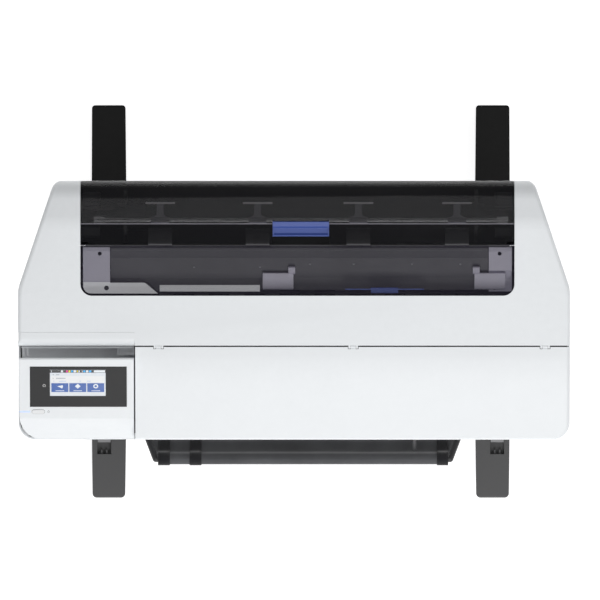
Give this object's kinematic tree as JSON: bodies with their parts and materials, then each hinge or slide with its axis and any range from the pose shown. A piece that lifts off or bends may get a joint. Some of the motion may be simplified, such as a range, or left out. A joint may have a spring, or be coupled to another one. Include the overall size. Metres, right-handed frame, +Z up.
{
  "type": "printer cutter",
  "caption": "Wide-format roll printer with built-in paper cutter, hinged covers, tilting touch panel and catch basket, on a wheeled floor stand.",
  "frame": {"origin": "on the floor, under the middle of the bounding box", "axes": "+X to the operator's right, +Y to the rear, +Z up"},
  "size_m": [0.97, 0.702, 0.913],
  "materials": {
    "shell_white": "fine-textured moulded plastic",
    "casing_grey": "fine-textured moulded plastic",
    "bay_grey": "fine-textured moulded plastic",
    "pan_steel": "zinc-plated sheet",
    "tint_roll": "tinted transparent plastic",
    "tint_feeder": "tinted transparent plastic",
    "grip_blue": "satin moulded plastic",
    "shaft_steel": "ground steel",
    "lever_black": "moulded plastic",
    "panel_glass": "gloss black",
    "lcd": "lit display",
    "light_bar": "lit light guide",
    "button_white": "gloss moulded plastic",
    "deck_black": "textured moulded plastic",
    "trim_grey": "satin moulded plastic",
    "holder_black": "moulded plastic",
    "adapter_black": "moulded plastic",
    "chassis_steel": "zinc-plated sheet and ground rail",
    "roller_rubber": "ground rubber",
    "pinch_grey": "moulded plastic",
    "gear_plastic": "natural acetal",
    "pulley_metal": "turned",
    "carriage_grey": "moulded plastic",
    "belt_black": "toothed belt",
    "cap_grey": "moulded plastic",
    "blade_steel": "ground steel",
    "cartridge": "moulded plastic",
    "motor_metal": "plated can",
    "supply_metal": "perforated sheet",
    "board_green": "solder mask",
    "inlet_black": "moulded plastic",
    "foot_paint": "satin powder coat",
    "leg_paint": "satin powder coat",
    "rod_paint": "satin powder coat",
    "cloth": "woven cloth",
    "pedal_grey": "moulded plastic",
    "fork_steel": "pressed steel",
    "wheel_rubber": "moulded tread"
  },
  "bodies": {
    "printer": {"hood": "shell_white", "lower_covers": "shell_white", "rear_cover": "casing_grey", "base_pan": "pan_steel", "hinge_pins": "shaft_steel", "panel_bay": "bay_grey", "feeder_deck": "deck_black", "feeder_trims": "trim_grey", "bay_wall": "deck_black", "roll_holders": "holder_black", "chassis": "chassis_steel", "platen": "deck_black", "carriage_belt": "belt_black", "cap_station": "cap_grey", "cartridge_holder": "cap_grey", "ink_cartridges": "cartridge", "motors": "motor_metal", "power_supply": "supply_metal", "main_board": "board_green", "power_inlet": "inlet_black", "stand_feet": "foot_paint", "stand_legs": "leg_paint", "stand_beam": "leg_paint", "stand_bolts": "shaft_steel", "basket_frame": "rod_paint", "basket_cloth": "cloth"},
    "front_cover": {"front_cover": "shell_white"},
    "roll_cover": {"roll_cover": "tint_roll", "roll_cover_grip": "grip_blue", "press_shaft": "shaft_steel"},
    "press_levers": {"press_levers": "lever_black"},
    "feeder_cover": {"feeder_cover": "tint_feeder", "feeder_grip": "grip_blue"},
    "control_panel": {"panel_housing": "shell_white", "panel_glass": "panel_glass", "lcd_screen": "lcd", "status_light": "light_bar"},
    "power_button": {"power_button": "button_white"},
    "edge_guide_left": {"edge_guide_left": "trim_grey"},
    "edge_guide_right": {"edge_guide_right": "trim_grey"},
    "roll_adapter_left": {"roll_adapter_left": "adapter_black"},
    "roll_adapter_right": {"roll_adapter_right": "adapter_black"},
    "feed_roller": {"feed_roller": "roller_rubber"},
    "motor_pinion": {"motor_pinion": "gear_plastic"},
    "pinch_rollers": {"pinch_rollers": "pinch_grey"},
    "carriage": {"carriage": "carriage_grey"},
    "idler_pulley": {"idler_pulley": "gear_plastic"},
    "drive_pulley": {"drive_pulley": "pulley_metal"},
    "cutter": {"cutter": "carriage_grey"},
    "cutter_blade": {"cutter_blade": "blade_steel"},
    "brake_pedal_left": {"brake_pedal_left": "pedal_grey"},
    "caster_fork_front_left": {"caster_fork_front_left": "fork_steel"},
    "caster_wheel_front_left": {"caster_wheel_front_left": "wheel_rubber"},
    "caster_fork_rear_left": {"caster_fork_rear_left": "fork_steel"},
    "caster_wheel_rear_left": {"caster_wheel_rear_left": "wheel_rubber"},
    "brake_pedal_right": {"brake_pedal_right": "pedal_grey"},
    "caster_fork_front_right": {"caster_fork_front_right": "fork_steel"},
    "caster_wheel_front_right": {"caster_wheel_front_right": "wheel_rubber"},
    "caster_fork_rear_right": {"caster_fork_rear_right": "fork_steel"},
    "caster_wheel_rear_right": {"caster_wheel_rear_right": "wheel_rubber"}
  },
  "joints": [
    {"name": "front_cover_hinge", "type": "hinge", "parent": "printer", "child": "front_cover", "pos_m": [0.1, -0.0796, 0.8592], "axis": [-1, 0, 0], "range_deg": [0, 60]},
    {"name": "roll_cover_hinge", "type": "hinge", "parent": "printer", "child": "roll_cover", "pos_m": [0.006, 0.208, 0.85], "axis": [-1, 0, 0], "range_deg": [0, 75]},
    {"name": "press_levers_pivot", "type": "hinge", "parent": "roll_cover", "child": "press_levers", "pos_m": [0.012, 0.1425, 0.898], "axis": [-1, 0, 0], "range_deg": [-5, 12], "stiffness_Nm_per_rad": 0.5},
    {"name": "feeder_cover_hinge", "type": "hinge", "parent": "printer", "child": "feeder_cover", "pos_m": [0.006, 0.0985, 0.9022], "axis": [-1, 0, 0], "range_deg": [0, 75]},
    {"name": "panel_tilt", "type": "hinge", "parent": "printer", "child": "control_panel", "pos_m": [-0.38, -0.226, 0.764], "axis": [1, 0, 0], "range_deg": [-8, 17]},
    {"name": "power_button_press", "type": "slide", "parent": "control_panel", "child": "power_button", "axis": [0, 0.5, -0.866], "range_m": [0, 0.0015], "stiffness_N_per_m": 300, "springref_m": -0.0008},
    {"name": "edge_guide_left_slide", "type": "slide", "parent": "printer", "child": "edge_guide_left", "axis": [1, 0, 0], "range_m": [0, 0.1]},
    {"name": "edge_guide_right_slide", "type": "slide", "parent": "printer", "child": "edge_guide_right", "axis": [-1, 0, 0], "range_m": [0, 0.1]},
    {"name": "roll_spin_left", "type": "hinge", "parent": "printer", "child": "roll_adapter_left", "pos_m": [-0.29, 0.15, 0.836], "axis": [1, 0, 0], "continuous": true},
    {"name": "roll_spin_right", "type": "hinge", "parent": "printer", "child": "roll_adapter_right", "pos_m": [0.31, 0.15, 0.836], "axis": [1, 0, 0], "continuous": true},
    {"name": "feed_roller_spin", "type": "hinge", "parent": "printer", "child": "feed_roller", "pos_m": [0, 0.016, 0.738], "axis": [1, 0, 0], "continuous": true},
    {"name": "motor_pinion_spin", "type": "hinge", "parent": "printer", "child": "motor_pinion", "pos_m": [-0.4, 0.05, 0.72], "axis": [1, 0, 0], "continuous": true},
    {"name": "pinch_rollers_spin", "type": "hinge", "parent": "printer", "child": "pinch_rollers", "pos_m": [0, 0.016, 0.7553], "axis": [1, 0, 0], "continuous": true},
    {"name": "carriage_slide", "type": "slide", "parent": "printer", "child": "carriage", "axis": [-1, 0, 0], "range_m": [0, 0.62]},
    {"name": "idler_pulley_spin", "type": "hinge", "parent": "printer", "child": "idler_pulley", "pos_m": [-0.38, 0.059, 0.799], "axis": [0, 1, 0], "continuous": true},
    {"name": "drive_pulley_spin", "type": "hinge", "parent": "printer", "child": "drive_pulley", "pos_m": [0.396, 0.059, 0.799], "axis": [0, 1, 0], "continuous": true},
    {"name": "cutter_slide", "type": "slide", "parent": "printer", "child": "cutter", "axis": [1, 0, 0], "range_m": [0, 0.54]},
    {"name": "blade_spin", "type": "hinge", "parent": "cutter", "child": "cutter_blade", "pos_m": [-0.245, -0.0965, 0.762], "axis": [0, 1, 0], "continuous": true},
    {"name": "brake_pedal_left_hinge", "type": "hinge", "parent": "printer", "child": "brake_pedal_left", "pos_m": [-0.3395, -0.2415, 0.077], "axis": [1, 0, 0], "range_deg": [0, 12]},
    {"name": "caster_swivel_front_left", "type": "hinge", "parent": "printer", "child": "caster_fork_front_left", "pos_m": [-0.331, -0.305, 0.06], "axis": [0, 0, 1], "continuous": true},
    {"name": "caster_spin_front_left", "type": "hinge", "parent": "caster_fork_front_left", "child": "caster_wheel_front_left", "pos_m": [-0.331, -0.293, 0.025], "axis": [1, 0, 0], "continuous": true},
    {"name": "caster_swivel_rear_left", "type": "hinge", "parent": "printer", "child": "caster_fork_rear_left", "pos_m": [-0.331, 0.305, 0.06], "axis": [0, 0, 1], "continuous": true},
    {"name": "caster_spin_rear_left", "type": "hinge", "parent": "caster_fork_rear_left", "child": "caster_wheel_rear_left", "pos_m": [-0.331, 0.317, 0.025], "axis": [1, 0, 0], "continuous": true},
    {"name": "brake_pedal_right_hinge", "type": "hinge", "parent": "printer", "child": "brake_pedal_right", "pos_m": [0.363, -0.2415, 0.077], "axis": [1, 0, 0], "range_deg": [0, 12]},
    {"name": "caster_swivel_front_right", "type": "hinge", "parent": "printer", "child": "caster_fork_front_right", "pos_m": [0.3545, -0.305, 0.06], "axis": [0, 0, 1], "continuous": true},
    {"name": "caster_spin_front_right", "type": "hinge", "parent": "caster_fork_front_right", "child": "caster_wheel_front_right", "pos_m": [0.3545, -0.293, 0.025], "axis": [1, 0, 0], "continuous": true},
    {"name": "caster_swivel_rear_right", "type": "hinge", "parent": "printer", "child": "caster_fork_rear_right", "pos_m": [0.3545, 0.305, 0.06], "axis": [0, 0, 1], "continuous": true},
    {"name": "caster_spin_rear_right", "type": "hinge", "parent": "caster_fork_rear_right", "child": "caster_wheel_rear_right", "pos_m": [0.3545, 0.317, 0.025], "axis": [1, 0, 0], "continuous": true}
  ],
  "couplings": [
    {"joint": "edge_guide_right_slide", "follows": "edge_guide_left_slide", "ratio": 1},
    {"joint": "motor_pinion_spin", "follows": "feed_roller_spin", "ratio": -1.3793},
    {"joint": "pinch_rollers_spin", "follows": "feed_roller_spin", "ratio": -2.4},
    {"joint": "idler_pulley_spin", "follows": "carriage_slide", "rad_per_m": 120.48},
    {"joint": "drive_pulley_spin", "follows": "carriage_slide", "rad_per_m": 120.48},
    {"joint": "blade_spin", "follows": "cutter_slide", "rad_per_m": 90.909}
  ]
}
